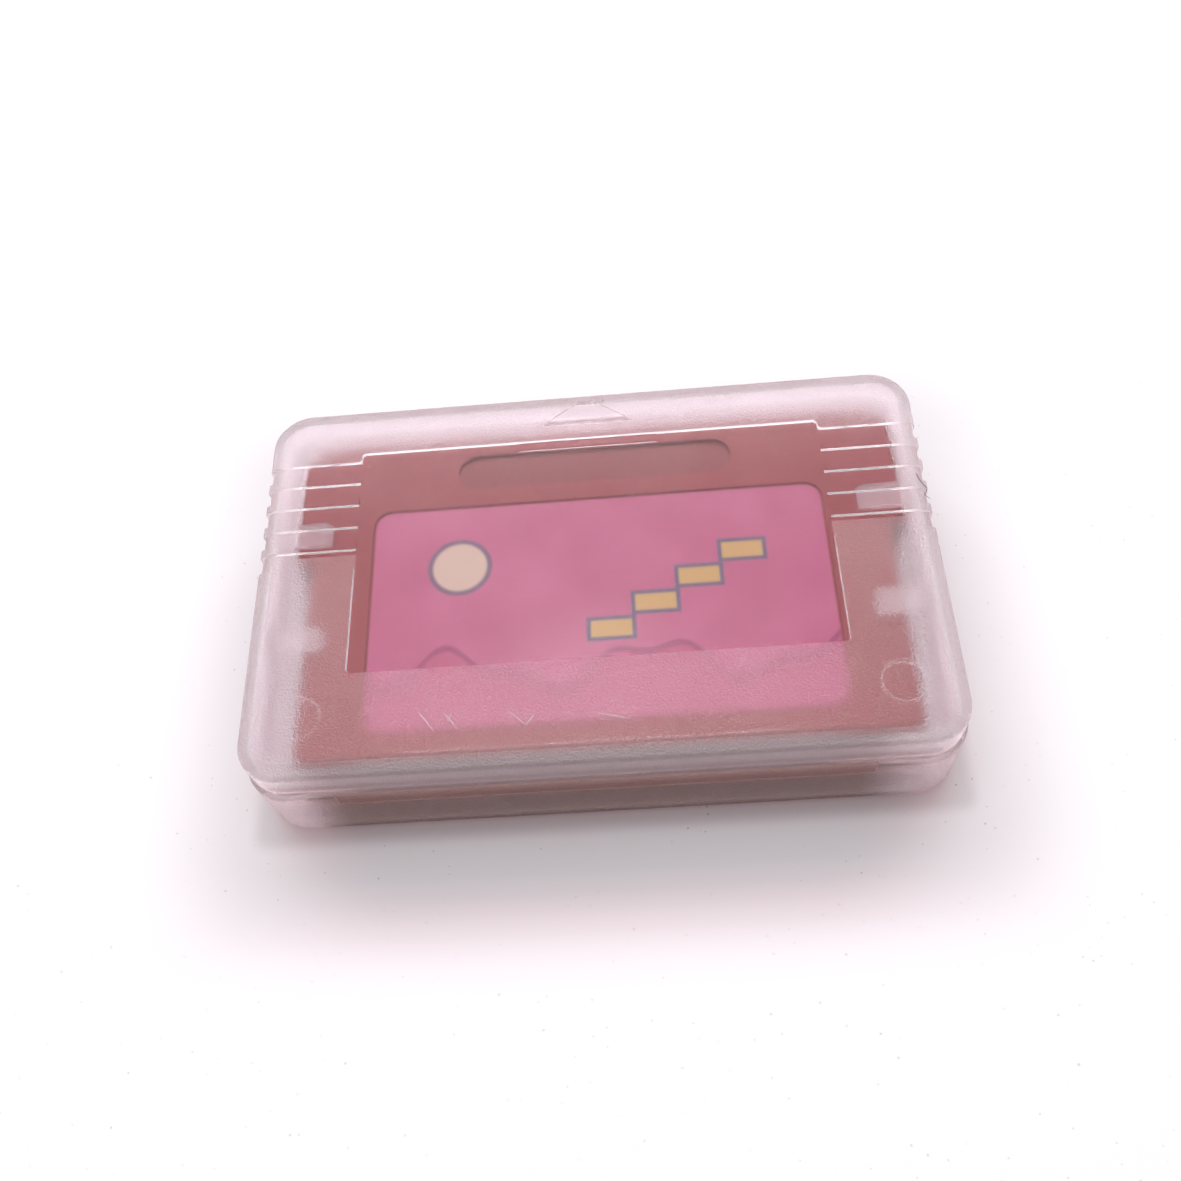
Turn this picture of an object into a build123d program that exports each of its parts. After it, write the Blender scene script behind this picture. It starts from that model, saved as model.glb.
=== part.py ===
from build123d import *
import os

# A game cartridge lying in its frosted clamshell case.
# Millimetres, +Z up, origin on the table under the middle of the base.
# The film hinge runs along X at the near edge (-Y), and the lid opens at the far edge (+Y).

# Cartridge, outside
cart_body_width = 55.4
cart_grip_overhang = 1.55
cart_length = 34.7
cart_grip_length = 13.85
cart_thickness = 7.8
cart_rear_height = 3.9
cart_top_corner = 3.0
cart_low_corner = 1.4
cart_shoulder_radius = 0.6
cart_edge_chamfer = 0.4
cart_shift = 0.4

# Cartridge shells
shell_wall = 1.2
rear_wall = 1.1
front_wall = 1.3
label_side_margin = 6.1
label_near_margin = 2.75
label_far_margin = 8.55
label_corner = 1.6
label_thickness = 0.15
label_recess = 0.25
label_clearance = 0.2
badge_length = 27.0
badge_width = 4.0
badge_depth = 0.3
badge_far_margin = 4.35

# Shell screw and its bosses
screw_far_margin = 3.35
screw_head_radius = 2.0
screw_head_height = 1.4
screw_head_chamfer = 0.3
screw_shank_radius = 0.95
screw_length = 5.2
screw_sink = 0.4
screw_recess_depth = 0.7
screw_lobe_length = 1.25
screw_lobe_width = 0.5
screw_lobes = 3
boss_wall = 1.5
thread_clearance = 0.03
screw_clearance = 0.25

# Circuit board
board_side_gap = 0.8
board_near_inset = 0.75
board_far_inset = 5.15
board_thickness = 1.0
board_clearance = 0.2
board_drop = 0.3
board_corner = 0.8
board_seat_overlap = 0.8
post_radius = 1.2
post_side_margin = 3.4
post_far_margin = 4.2

# Edge contacts and the slot they are reached through
contact_side_margin = 1.8
contact_pitch = 1.5
contact_width = 1.0
contact_length = 5.0
contact_thickness = 0.05
contact_inset = 0.2
slot_margin = 0.6

# Chips: length along X, width along Y, height off the board
chip_gap = 0.65
chip_standoff = 0.1
chip_draft = 8
lead_thickness = 0.15
lead_width = 0.42
lead_reach = 0.55
lead_foot = 0.6
lead_pitch = 1.27
rom_length = 18.0
rom_width = 11.0
rom_height = 2.0
rom_side_margin = 2.0
rom_far_margin = 4.2
save_length = 5.4
save_width = 3.9
save_height = 1.8
clock_length = 4.2
clock_width = 3.4
clock_height = 1.5

# Clock crystal
crystal_radius = 1.0
crystal_length = 6.0
crystal_wire_width = 0.3
crystal_wire_spacing = 0.7
crystal_wire_reach = 0.9

# Backup battery and its welded tabs
battery_radius = 8.0
battery_height = 1.6
battery_cap_radius = 6.6
battery_cap_height = 0.35
battery_side_margin = 1.8
battery_far_margin = 1.6
tab_strip_thickness = 0.2
tab_strip_width = 4.0
tab_strip_foot = 1.6
tab_strip_gap = 0.3

# Small passive parts
passive_length = 1.6
passive_width = 0.8
capacitor_height = 0.8
resistor_height = 0.45
passive_end = 0.3
passive_gap = 1.0
passive_pitch = 3.2
passive_side_margin = 5.4
capacitor_count = 5

# Case walls and the room left round the cartridge
case_wall = 1.0
case_floor = 1.0
case_roof = 1.0
side_room = 1.25
end_room = 1.25
head_room = 2.3
rim_below_cart = 0.9
rail_height = 0.3
rail_width = 1.6
rail_length = 26.0
rail_x = 15.0

# Case, outside form
lid_corner = 3.8
lid_bevel_width = 1.35
lid_bevel_drop = 0.4
lid_edge_radius = 0.5
lid_inner_chamfer = 0.2
base_edge_radius = 1.0
rim_chamfer = 0.15
ledge = 0.35
rim_gap = 0.15

# Lid relief: the viewing panel, its side wings and the grip bars
recess_depth = 0.28
step_slope = 16
panel_side_margin = 9.3
far_strip = 5.6
wing_step = 1.0
wing_length = 11.85
panel_near_margin = 9.7
jog_radius = 0.45
fillet_room = 0.05
bar_count = 4
bar_pitch = 2.51
bar_width = 0.85
bar_crown = 0.68
rim_band = 1.0
arrow_half_width = 4.6
arrow_tip_half_width = 0.85
arrow_near = 3.9
arrow_length = 2.55
arrow_radius = 0.3
arrow_height = 0.12
bracket_half_width = 6.7
bracket_depth = 0.95
bracket_height = 0.1
eject_radius = 1.95
eject_depth = 0.15
eject_side_margin = 5.3
eject_near_margin = 5.65
eject_far_margin = 4.0
pad_half_width = 17.0
pad_length = 5.6
pad_margin = 2.1
pad_height = 0.1
pad_corner = 0.6

# Base: inner lip, holding tabs and the film hinge
lip_clearance = 0.15
lip_thickness = 0.55
lip_height = 1.0
lip_skirt = 0.5
tab_width = 2.35
tab_thickness = 0.8
tab_clearance = 0.15
tab_overlap = 2.4
tab_nose = 0.55
tab_far_y = 6.3
tab_near_y = -5.0
film_side_margin = 7.9
film_height = 1.7
film_thickness = 0.35
film_end_gap = 0.1

# Worked-out places of the cartridge in the case
cart_bottom = case_floor + rail_height
cart_top = cart_bottom + cart_thickness

# Worked-out outline of the cartridge
cart_width = cart_body_width + 2 * cart_grip_overhang
cart_near = -cart_length / 2
cart_far = cart_length / 2
cart_shoulder_y = cart_far - cart_grip_length
screw_y = cart_far - screw_far_margin
label_width = cart_body_width - 2 * label_side_margin
label_height = cart_length - label_near_margin - label_far_margin
label_y = cart_near + label_near_margin + label_height / 2

# Worked-out board and the places of what it carries
board_width = cart_body_width - 2 * (shell_wall + board_side_gap)
board_near = cart_near + board_near_inset
board_far = cart_far - board_far_inset
board_height = cart_rear_height - board_drop
board_top = board_height + board_thickness
contact_far = board_near + contact_inset + contact_length
contact_span = board_width - 2 * contact_side_margin - contact_width
contact_count = int(contact_span / contact_pitch) + 1
passive_y = contact_far + passive_gap + passive_width / 2
passive_first_x = passive_side_margin - board_width / 2
lead_room = lead_reach + lead_foot
rom_x = rom_side_margin + rom_length / 2 - board_width / 2
rom_y = board_far - rom_far_margin - rom_width / 2
battery_x = board_width / 2 - battery_side_margin - battery_radius
battery_y = board_far - battery_far_margin - battery_radius
column_x = (rom_x + rom_length / 2 + battery_x - battery_radius) / 2
save_y = passive_y + passive_width / 2 + chip_gap + lead_room + save_width / 2
clock_y = save_y + save_width / 2 + chip_gap + 2 * lead_room + clock_width / 2
crystal_y = clock_y + clock_width / 2 + lead_room + chip_gap + crystal_radius
crystal_x = column_x + crystal_wire_reach / 2

# Worked-out sizes of the case
lid_width = cart_width + 2 * side_room + 2 * case_wall
lid_depth = cart_length + 2 * end_room + 2 * case_wall
base_width = lid_width + 2 * ledge
base_depth = lid_depth + 2 * ledge
base_corner = lid_corner + ledge
rim_z = cart_top - rim_below_cart
lid_bottom = rim_z + rim_gap
lid_top = cart_top + head_room + case_roof
lip_half_width = lid_width / 2 - case_wall - lip_clearance
lip_half_depth = lid_depth / 2 - case_wall - lip_clearance
lip_corner = lid_corner - case_wall - lip_clearance
panel_half_width = lid_width / 2 - panel_side_margin
bevel_slant = (lid_bevel_width**2 + lid_bevel_drop**2) ** 0.5
core_bevel_trim = recess_depth * (lid_bevel_width + lid_bevel_drop - bevel_slant)
core_bevel_width = lid_bevel_width - core_bevel_trim / lid_bevel_drop
core_bevel_drop = lid_bevel_drop - core_bevel_trim / lid_bevel_width
film_half_length = lid_width / 2 - film_side_margin


def rounded_block(width, depth, corner, low, high):
    """An upright block with rounded plan corners, centred on the origin."""
    return Pos(0, 0, low) * extrude(RectangleRounded(width, depth, corner), high - low)


def rounded_ring(outer, inner, low, high):
    """A wall between two rounded rectangles, each given as width, depth and corner."""
    return rounded_block(*outer, low, high) - rounded_block(*inner, low, high)


def box_between(low, high):
    """A box from its lowest corner to its highest corner."""
    size = [top - bottom for bottom, top in zip(low, high)]
    return Pos(*low) * Box(*size, align=(Align.MIN, Align.MIN, Align.MIN))


def level_edges(shape, z):
    """The edges of a shape that lie at one height."""
    return shape.edges().filter_by_position(Axis.Z, z, z)


def side_profile(points, x_low, x_high):
    """A Y-Z outline stretched along X."""
    outline = Plane.YZ * make_face(Polyline(*points, close=True))
    return Pos(x_low, 0, 0) * extrude(outline, x_high - x_low)


def front_profile(points, y_low, y_high):
    """An X-Z outline stretched along Y."""
    outline = Plane.XZ * make_face(Polyline(*points, close=True))
    return Pos(0, y_high, 0) * extrude(outline, y_high - y_low)


# Case lid
def lid_recess_outline():
    """Plan of the shallow recess: the viewing panel and the wings that run out over both sides."""
    panel_far = lid_depth / 2 - far_strip
    panel_near = panel_near_margin - lid_depth / 2
    wing_far = panel_far - wing_step
    wing_near = wing_far - wing_length
    panel = Pos(0, (panel_far + panel_near) / 2) * Rectangle(2 * panel_half_width, panel_far - panel_near)
    wings = Pos(0, (wing_far + wing_near) / 2) * Rectangle(lid_width + 2 * case_wall, wing_length)
    outline = panel + wings
    corners = [vertex for vertex in outline.vertices() if abs(vertex.X) < lid_width / 2]
    return fillet(corners, min(jog_radius, wing_step / 2 - fillet_room))


def grip_bars():
    """Tapered bars across the wings, on both sides, as tall as the lid's own surface."""
    wing_far = lid_depth / 2 - far_strip - wing_step
    floor_z = lid_top - recess_depth
    outer_x = lid_width / 2 + case_wall
    bars = Part()
    for index in range(bar_count):
        near = wing_far - (index + 1) * bar_pitch
        far = near + bar_width
        inset = (bar_width - bar_crown) / 2
        points = [
            (near, lid_bottom + rim_band),
            (far, lid_bottom + rim_band),
            (far, floor_z),
            (far - inset, lid_top),
            (near + inset, lid_top),
            (near, floor_z),
        ]
        for x_low, x_high in ((panel_half_width, outer_x), (-outer_x, -panel_half_width)):
            bars += side_profile(points, x_low, x_high)
    return bars


def arrow_mark():
    """A low raised arrow head, cut flat at its tip, that points at the edge where the lid is lifted."""
    near = lid_depth / 2 - arrow_near
    corners = [
        (-arrow_half_width, near),
        (arrow_half_width, near),
        (arrow_tip_half_width, near + arrow_length),
        (-arrow_tip_half_width, near + arrow_length),
    ]
    outline = make_face(Polyline(*corners, close=True))
    wide_end = [vertex for vertex in outline.vertices() if abs(vertex.X) > 2 * arrow_tip_half_width]
    outline = fillet(wide_end, arrow_radius)
    return Pos(0, 0, lid_top - recess_depth) * extrude(outline, recess_depth + arrow_height)


def bevel_top(block, bevel_width, bevel_drop, edge_radius):
    """A block with a flat bevel round its top, whose outer corner is rounded."""
    top = block.faces().sort_by(Axis.Z)[-1]
    shoulder_z = top.center().Z - bevel_drop
    block = chamfer(top.edges(), bevel_width, bevel_drop, reference=top)
    return fillet(level_edges(block, shoulder_z), edge_radius)


def make_lid():
    outer = rounded_block(lid_width, lid_depth, lid_corner, lid_bottom, lid_top)
    outer = bevel_top(outer, lid_bevel_width, lid_bevel_drop, lid_edge_radius)
    core = rounded_block(
        lid_width - 2 * recess_depth,
        lid_depth - 2 * recess_depth,
        lid_corner - recess_depth,
        lid_bottom,
        lid_top - recess_depth,
    )
    core = bevel_top(core, core_bevel_width, core_bevel_drop, lid_edge_radius - recess_depth)
    recess = lid_recess_outline()
    upright_cut = Pos(0, 0, lid_bottom + rim_band) * extrude(recess, lid_top - lid_bottom) - core
    sloped_cut = Pos(0, 0, lid_top - recess_depth) * extrude(recess, 2 * recess_depth, taper=-step_slope)
    lid = outer - upright_cut - sloped_cut
    lid += grip_bars() & outer
    lid += arrow_mark()

    panel_far = lid_depth / 2 - far_strip
    bracket_low = (-bracket_half_width, panel_far - bracket_depth, lid_top - case_roof)
    bracket_high = (bracket_half_width, panel_far, lid_top - recess_depth + bracket_height)
    lid += box_between(bracket_low, bracket_high)

    ceiling = lid_top - case_roof
    cavity_depth = lid_depth - 2 * case_wall
    cavity = rounded_block(
        lid_width - 2 * case_wall, cavity_depth, lid_corner - case_wall, lid_bottom - case_wall, ceiling
    )
    cavity = chamfer(level_edges(cavity, ceiling), lid_inner_chamfer)
    pad_y = pad_margin + pad_length / 2 - lid_depth / 2
    pad = RectangleRounded(2 * pad_half_width, pad_length, pad_corner)
    cavity -= Pos(0, pad_y, ceiling - pad_height) * extrude(pad, case_roof)
    lid -= cavity
    for y in (eject_near_margin - lid_depth / 2, lid_depth / 2 - eject_far_margin):
        for side in (-1, 1):
            x = side * (lid_width / 2 - eject_side_margin)
            lid -= Pos(x, y, ceiling) * Cylinder(eject_radius, 2 * eject_depth)
    return lid


# Case base
def holding_tabs():
    """Four hooked tabs that rise from the lip and reach in over the cartridge."""
    low = cart_top + tab_clearance
    high = low + tab_thickness
    outer_x = lip_half_width
    inner_x = lip_half_width - lip_thickness
    tip_x = cart_body_width / 2 - tab_overlap
    points = [
        (inner_x, rim_z),
        (outer_x, rim_z),
        (outer_x, high),
        (tip_x + tab_nose, high),
        (tip_x, low + tab_thickness / 3),
        (tip_x, low),
        (inner_x, low),
    ]
    tabs = Part()
    for y in (tab_far_y, tab_near_y):
        tab = front_profile(points, y - tab_width / 2, y + tab_width / 2)
        tabs += tab
        tabs += mirror(tab, Plane.YZ)
    return tabs


def make_base():
    base = rounded_block(base_width, base_depth, base_corner, 0, rim_z)
    base = fillet(level_edges(base, 0), base_edge_radius)
    base = chamfer(level_edges(base, rim_z), rim_chamfer)
    inside = (base_width - 2 * case_wall, base_depth - 2 * case_wall, base_corner - case_wall)
    lip_outer = (2 * lip_half_width, 2 * lip_half_depth, lip_corner)
    lip_inner = (
        2 * (lip_half_width - lip_thickness),
        2 * (lip_half_depth - lip_thickness),
        lip_corner - lip_thickness,
    )
    lip_root = rim_z - film_height - lip_skirt
    base -= rounded_block(*inside, case_floor, rim_z)
    notch_low = (-film_half_length, -base_depth / 2, rim_z - film_height)
    notch_high = (film_half_length, case_wall - base_depth / 2, rim_z)
    base -= box_between(notch_low, notch_high)
    base += rounded_ring(inside, lip_inner, lip_root, rim_z)
    base += rounded_ring(lip_outer, lip_inner, lip_root, rim_z + lip_height)
    base += holding_tabs()
    for x in (-rail_x, rail_x):
        rail = box_between(
            (x - rail_width / 2, -rail_length / 2, case_floor / 2),
            (x + rail_width / 2, rail_length / 2, case_floor + rail_height),
        )
        base += rail
    return base


def make_hinge_film():
    """The thin strip that joins the base to the lid's lower edge, flush with the lid's front wall."""
    half = film_half_length - film_end_gap
    front = -lid_depth / 2
    low = (-half, front, rim_z - film_height)
    high = (half, front + film_thickness, lid_bottom)
    return box_between(low, high)


# Cartridge shells, in the cartridge's own frame: origin in the middle of its rear face
def cart_outline():
    """Plan of the cartridge: a wide grip end above a narrower body."""
    grip_length = cart_far - cart_shoulder_y
    grip = Pos(0, (cart_far + cart_shoulder_y) / 2) * Rectangle(cart_width, grip_length)
    body = Rectangle(cart_body_width, cart_length)
    outline = grip + body
    far_corners = [vertex for vertex in outline.vertices() if vertex.Y > cart_far - shell_wall]
    outline = fillet(far_corners, cart_top_corner)
    near_corners = [vertex for vertex in outline.vertices() if vertex.Y < cart_near + shell_wall]
    outline = fillet(near_corners, cart_low_corner)
    shoulder = [vertex for vertex in outline.vertices() if abs(vertex.Y - cart_shoulder_y) < shell_wall]
    return fillet(shoulder, cart_shoulder_radius)


def make_front_shell():
    shell = Pos(0, 0, cart_rear_height) * extrude(cart_outline(), cart_thickness - cart_rear_height)
    shell = chamfer(level_edges(shell, cart_thickness), cart_edge_chamfer)
    ceiling = cart_thickness - front_wall
    hollow = offset(cart_outline(), -shell_wall, kind=Kind.INTERSECTION)
    shell -= Pos(0, 0, cart_rear_height) * extrude(hollow, ceiling - cart_rear_height)

    window = RectangleRounded(
        label_width + 2 * label_clearance, label_height + 2 * label_clearance, label_corner + label_clearance
    )
    shell -= Pos(0, label_y, cart_thickness - label_recess) * extrude(window, 2 * label_recess)
    badge = SlotOverall(badge_length, badge_width)
    badge_place = Pos(0, cart_far - badge_far_margin, cart_thickness - badge_depth)
    shell -= badge_place * extrude(badge, 2 * badge_depth)

    for side in (-1, 1):
        post = Cylinder(post_radius, ceiling - board_top, align=(Align.CENTER, Align.CENTER, Align.MIN))
        post_x = side * (board_width / 2 - post_side_margin)
        shell += Pos(post_x, board_far - post_far_margin, board_top) * post
    boss_height = ceiling - cart_rear_height
    boss_radius = screw_shank_radius + boss_wall
    boss = Cylinder(boss_radius, boss_height, align=(Align.CENTER, Align.CENTER, Align.MIN))
    shell += Pos(0, screw_y, cart_rear_height) * boss
    pilot_depth = screw_sink + screw_length - cart_rear_height + thread_clearance
    pilot = Cylinder(
        screw_shank_radius + thread_clearance, pilot_depth, align=(Align.CENTER, Align.CENTER, Align.MIN)
    )
    shell -= Pos(0, screw_y, cart_rear_height) * pilot

    seat_half = board_width / 2 + board_clearance
    seat_low = (-seat_half, board_near - board_clearance, cart_rear_height)
    seat_high = (seat_half, cart_near + 2 * shell_wall, board_top + board_clearance)
    shell -= box_between(seat_low, seat_high)
    return shell


def make_rear_shell():
    shell = extrude(cart_outline(), cart_rear_height)
    shell = chamfer(level_edges(shell, 0), cart_edge_chamfer)
    hollow = offset(cart_outline(), -shell_wall, kind=Kind.INTERSECTION)
    shell -= Pos(0, 0, rear_wall) * extrude(hollow, cart_rear_height - rear_wall)

    rail_outer = cart_body_width / 2 - shell_wall / 2
    rail_inner = board_width / 2 - board_seat_overlap
    for side in (-1, 1):
        rail_low = (min(side * rail_inner, side * rail_outer), contact_far, rear_wall / 2)
        rail_high = (max(side * rail_inner, side * rail_outer), cart_shoulder_y, board_height)
        shell += box_between(rail_low, rail_high)

    post_outer = screw_head_radius + screw_clearance + shell_wall
    post = Cylinder(post_outer, cart_rear_height, align=(Align.CENTER, Align.CENTER, Align.MIN))
    shell += Pos(0, screw_y, 0) * (post & Pos(0, -screw_y, 0) * extrude(cart_outline(), cart_rear_height))
    well_depth = screw_sink + screw_head_height
    well = Cylinder(
        screw_head_radius + screw_clearance, well_depth, align=(Align.CENTER, Align.CENTER, Align.MIN)
    )
    shell -= Pos(0, screw_y, 0) * well
    passage = Cylinder(
        screw_shank_radius + screw_clearance, cart_rear_height, align=(Align.CENTER, Align.CENTER, Align.MIN)
    )
    shell -= Pos(0, screw_y, 0) * passage

    slot_half = (contact_count - 1) * contact_pitch / 2 + contact_width / 2 + slot_margin
    slot_low = (-slot_half, cart_near - shell_wall, rear_wall)
    slot_high = (slot_half, cart_near + 2 * shell_wall, cart_rear_height)
    shell -= box_between(slot_low, slot_high)
    seat_half = board_width / 2 + board_clearance
    seat_low = (-seat_half, board_near - board_clearance, board_height)
    seat_high = (seat_half, cart_near + 2 * shell_wall, cart_rear_height)
    shell -= box_between(seat_low, seat_high)
    return shell


def make_label():
    return Pos(0, label_y, cart_thickness - label_recess) * extrude(
        RectangleRounded(label_width, label_height, label_corner), label_thickness
    )


def make_screw():
    """Pan-head screw, head down, with a three-lobed drive recess."""
    head = Cylinder(screw_head_radius, screw_head_height, align=(Align.CENTER, Align.CENTER, Align.MIN))
    head = chamfer(level_edges(head, 0), screw_head_chamfer)
    shank = Cylinder(screw_shank_radius, screw_length, align=(Align.CENTER, Align.CENTER, Align.MIN))
    screw = head + shank
    for index in range(screw_lobes):
        lobe_low = (0, -screw_lobe_width / 2, 0)
        lobe_high = (screw_lobe_length, screw_lobe_width / 2, screw_recess_depth)
        lobe = box_between(lobe_low, lobe_high)
        screw -= Rot(0, 0, index * 360 / screw_lobes) * lobe
    return Pos(0, screw_y, screw_sink) * screw


# Circuit board and what is soldered to its underside
def make_board():
    outline = RectangleRounded(board_width, board_far - board_near, board_corner)
    outline = Pos(0, (board_near + board_far) / 2) * outline
    boss_room = screw_head_radius + screw_clearance + shell_wall + board_clearance
    outline -= Pos(0, screw_y) * Circle(boss_room)
    return Pos(0, 0, board_height) * extrude(outline, board_thickness)


def make_contacts():
    near = board_near + contact_inset
    pads = []
    for index in range(contact_count):
        x = (index - (contact_count - 1) / 2) * contact_pitch
        low = (x - contact_width / 2, near, board_height - contact_thickness)
        high = (x + contact_width / 2, contact_far, board_height)
        pads.append(box_between(low, high))
    return pads


def chip_body(length, width, height, x, y):
    """A moulded package whose sides slope away from its middle plane, hung under the board."""
    middle = board_height - chip_standoff - height / 2
    outline = Rectangle(length, width)
    upper = extrude(outline, height / 2, taper=chip_draft)
    body = upper + mirror(upper, Plane.XY)
    return Pos(x, y, middle) * body


def chip_leads(length, width, height, x, y):
    """Gull-wing leads from the package's middle plane up to the board, along both long sides."""
    per_side = int((length - lead_width) / lead_pitch) + 1
    middle = board_height - chip_standoff - height / 2
    start = width / 2
    knee = start + lead_reach
    toe = knee + lead_foot
    half = lead_thickness / 2
    points = [
        (start, middle - half),
        (knee + half, middle - half),
        (knee + half, board_height - lead_thickness),
        (toe, board_height - lead_thickness),
        (toe, board_height),
        (knee - half, board_height),
        (knee - half, middle + half),
        (start, middle + half),
    ]
    leads = []
    for index in range(per_side):
        step = (index - (per_side - 1) / 2) * lead_pitch
        lead = side_profile(points, step - lead_width / 2, step + lead_width / 2)
        for turn in (0, 180):
            leads.append(Pos(x, y, 0) * Rot(0, 0, turn) * lead)
    return leads


def make_crystal():
    """A small metal can lying along X under the board."""
    can = Rot(0, 90, 0) * Cylinder(crystal_radius, crystal_length)
    return Pos(crystal_x, crystal_y, board_height - crystal_radius) * can


def make_crystal_leads():
    """Two wires that leave the can's end and turn up to the board."""
    start = crystal_x - crystal_length / 2
    turn = start - crystal_wire_reach
    half = crystal_wire_width / 2
    axis_z = board_height - crystal_radius
    points = [
        (start, axis_z - half),
        (start, axis_z + half),
        (turn + half, axis_z + half),
        (turn + half, board_height),
        (turn - half, board_height),
        (turn - half, axis_z),
        (turn, axis_z - half),
    ]
    wires = []
    for side in (-1, 1):
        y = crystal_y + side * crystal_wire_spacing / 2
        wires.append(front_profile(points, y - half, y + half))
    return wires


def make_battery():
    """Coin cell: a wide can with a narrower cap towards the board."""
    high = board_height - tab_strip_thickness
    low = high - battery_height
    points = [
        (0, low),
        (battery_radius, low),
        (battery_radius, high - battery_cap_height),
        (battery_cap_radius, high),
        (0, high),
    ]
    profile = Plane.XZ * make_face(Polyline(*points, close=True))
    return Pos(battery_x, battery_y, 0) * revolve(profile, Axis.Z)


def make_positive_tab():
    """A strip under the can that bends up beside it to the board."""
    cell_low = board_height - tab_strip_thickness - battery_height
    side = battery_radius + tab_strip_gap
    points = [
        (0, cell_low - tab_strip_thickness),
        (side + tab_strip_thickness, cell_low - tab_strip_thickness),
        (side + tab_strip_thickness, board_height - tab_strip_thickness),
        (side + tab_strip_foot, board_height - tab_strip_thickness),
        (side + tab_strip_foot, board_height),
        (side, board_height),
        (side, cell_low),
        (0, cell_low),
    ]
    strip = side_profile(points, -tab_strip_width / 2, tab_strip_width / 2)
    return Pos(battery_x, battery_y, 0) * Rot(0, 0, 180) * strip


def make_negative_tab():
    """A flat strip between the cell's cap and the board."""
    reach = battery_cap_radius + tab_strip_foot
    low = (-tab_strip_width / 2, 0, board_height - tab_strip_thickness)
    high = (tab_strip_width / 2, reach, board_height)
    return Pos(battery_x, battery_y, 0) * box_between(low, high)


def passive_parts(first_x, count, height):
    """Bodies and end caps of a row of small two-ended parts."""
    bodies = []
    ends = []
    half = passive_length / 2
    for index in range(count):
        x = first_x + 2 * index * passive_pitch
        y_low = passive_y - passive_width / 2
        y_high = passive_y + passive_width / 2
        z_low = board_height - height
        cuts = (x - half, x - half + passive_end, x + half - passive_end, x + half)
        bodies.append(box_between((cuts[1], y_low, z_low), (cuts[2], y_high, board_height)))
        ends.append(box_between((cuts[0], y_low, z_low), (cuts[1], y_high, board_height)))
        ends.append(box_between((cuts[2], y_low, z_low), (cuts[3], y_high, board_height)))
    return bodies, ends


capacitors, capacitor_ends = passive_parts(passive_first_x, capacitor_count, capacitor_height)
resistors, resistor_ends = passive_parts(
    passive_first_x + passive_pitch, capacitor_count - 1, resistor_height
)

case_nodes = {
    "case_base": make_base(),
    "case_lid": make_lid(),
    "hinge_film": make_hinge_film(),
}
cart_nodes = {
    "cartridge_front_shell": make_front_shell(),
    "cartridge_rear_shell": make_rear_shell(),
    "front_label": make_label(),
    "shell_screw": make_screw(),
    "circuit_board": make_board(),
    "edge_contacts": make_contacts(),
    "rom_chip": chip_body(rom_length, rom_width, rom_height, rom_x, rom_y),
    "rom_chip_leads": chip_leads(rom_length, rom_width, rom_height, rom_x, rom_y),
    "save_chip": chip_body(save_length, save_width, save_height, column_x, save_y),
    "save_chip_leads": chip_leads(save_length, save_width, save_height, column_x, save_y),
    "clock_chip": chip_body(clock_length, clock_width, clock_height, column_x, clock_y),
    "clock_chip_leads": chip_leads(clock_length, clock_width, clock_height, column_x, clock_y),
    "clock_crystal": make_crystal(),
    "crystal_leads": make_crystal_leads(),
    "battery_cell": make_battery(),
    "battery_positive_tab": make_positive_tab(),
    "battery_negative_tab": make_negative_tab(),
    "capacitors": capacitors,
    "capacitor_ends": capacitor_ends,
    "resistors": resistors,
    "resistor_ends": resistor_ends,
}

os.makedirs("parts", exist_ok=True)
for name, shape in case_nodes.items():
    export_step(shape, f"parts/{name}.step")
cart_place = Pos(cart_shift, 0, cart_bottom)
for name, shape in cart_nodes.items():
    pieces = shape if isinstance(shape, list) else [shape]
    placed = Compound([solid for piece in pieces for solid in (cart_place * piece).solids()])
    export_step(placed, f"parts/{name}.step")
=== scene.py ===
# %% [markdown]
# # A game cartridge in its frosted case
#
# The object is a small dark red cartridge with a pink label. It lies in a clamshell case of milky
# plastic, and it is seen through the lid. The CAD model already holds every solid at its real size,
# so this lesson adds what CAD leaves out: the finish of each surface, a thin sheet for the hinge,
# small traces of use, and the light and camera of the photograph.

# %% Load the imported model as a fixed frame
import math
import random

import bpy
import bmesh
from mathutils import Matrix, Vector


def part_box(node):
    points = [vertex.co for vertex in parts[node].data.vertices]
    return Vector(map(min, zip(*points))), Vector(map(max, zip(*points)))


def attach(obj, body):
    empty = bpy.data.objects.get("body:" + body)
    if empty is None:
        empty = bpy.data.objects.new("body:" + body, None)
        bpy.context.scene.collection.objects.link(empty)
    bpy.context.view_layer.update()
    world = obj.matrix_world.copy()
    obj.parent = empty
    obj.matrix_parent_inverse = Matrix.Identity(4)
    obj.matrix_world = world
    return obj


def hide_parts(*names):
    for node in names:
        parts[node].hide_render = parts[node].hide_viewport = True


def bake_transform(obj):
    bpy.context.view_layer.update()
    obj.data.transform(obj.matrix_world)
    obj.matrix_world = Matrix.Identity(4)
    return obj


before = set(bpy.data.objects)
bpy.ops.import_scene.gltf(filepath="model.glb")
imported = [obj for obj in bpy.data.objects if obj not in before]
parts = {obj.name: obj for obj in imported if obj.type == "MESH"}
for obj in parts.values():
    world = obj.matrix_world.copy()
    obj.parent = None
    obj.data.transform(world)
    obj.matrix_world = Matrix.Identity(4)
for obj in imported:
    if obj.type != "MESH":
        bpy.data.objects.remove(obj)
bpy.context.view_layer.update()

MM = 0.001
print("pieces from CAD:", len(parts))

# %% [markdown]
# ## A short way to wire materials
#
# Every finish here is a node tree, and node trees written out in full are long and hard to read.
# A small helper keeps one material's tree and offers the few nodes that this lesson needs.
# A value that is the same all over a surface is set on the shader itself. Only what changes from
# place to place goes through nodes, because an exporter can keep a plain setting but has to bake
# a pattern.


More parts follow.
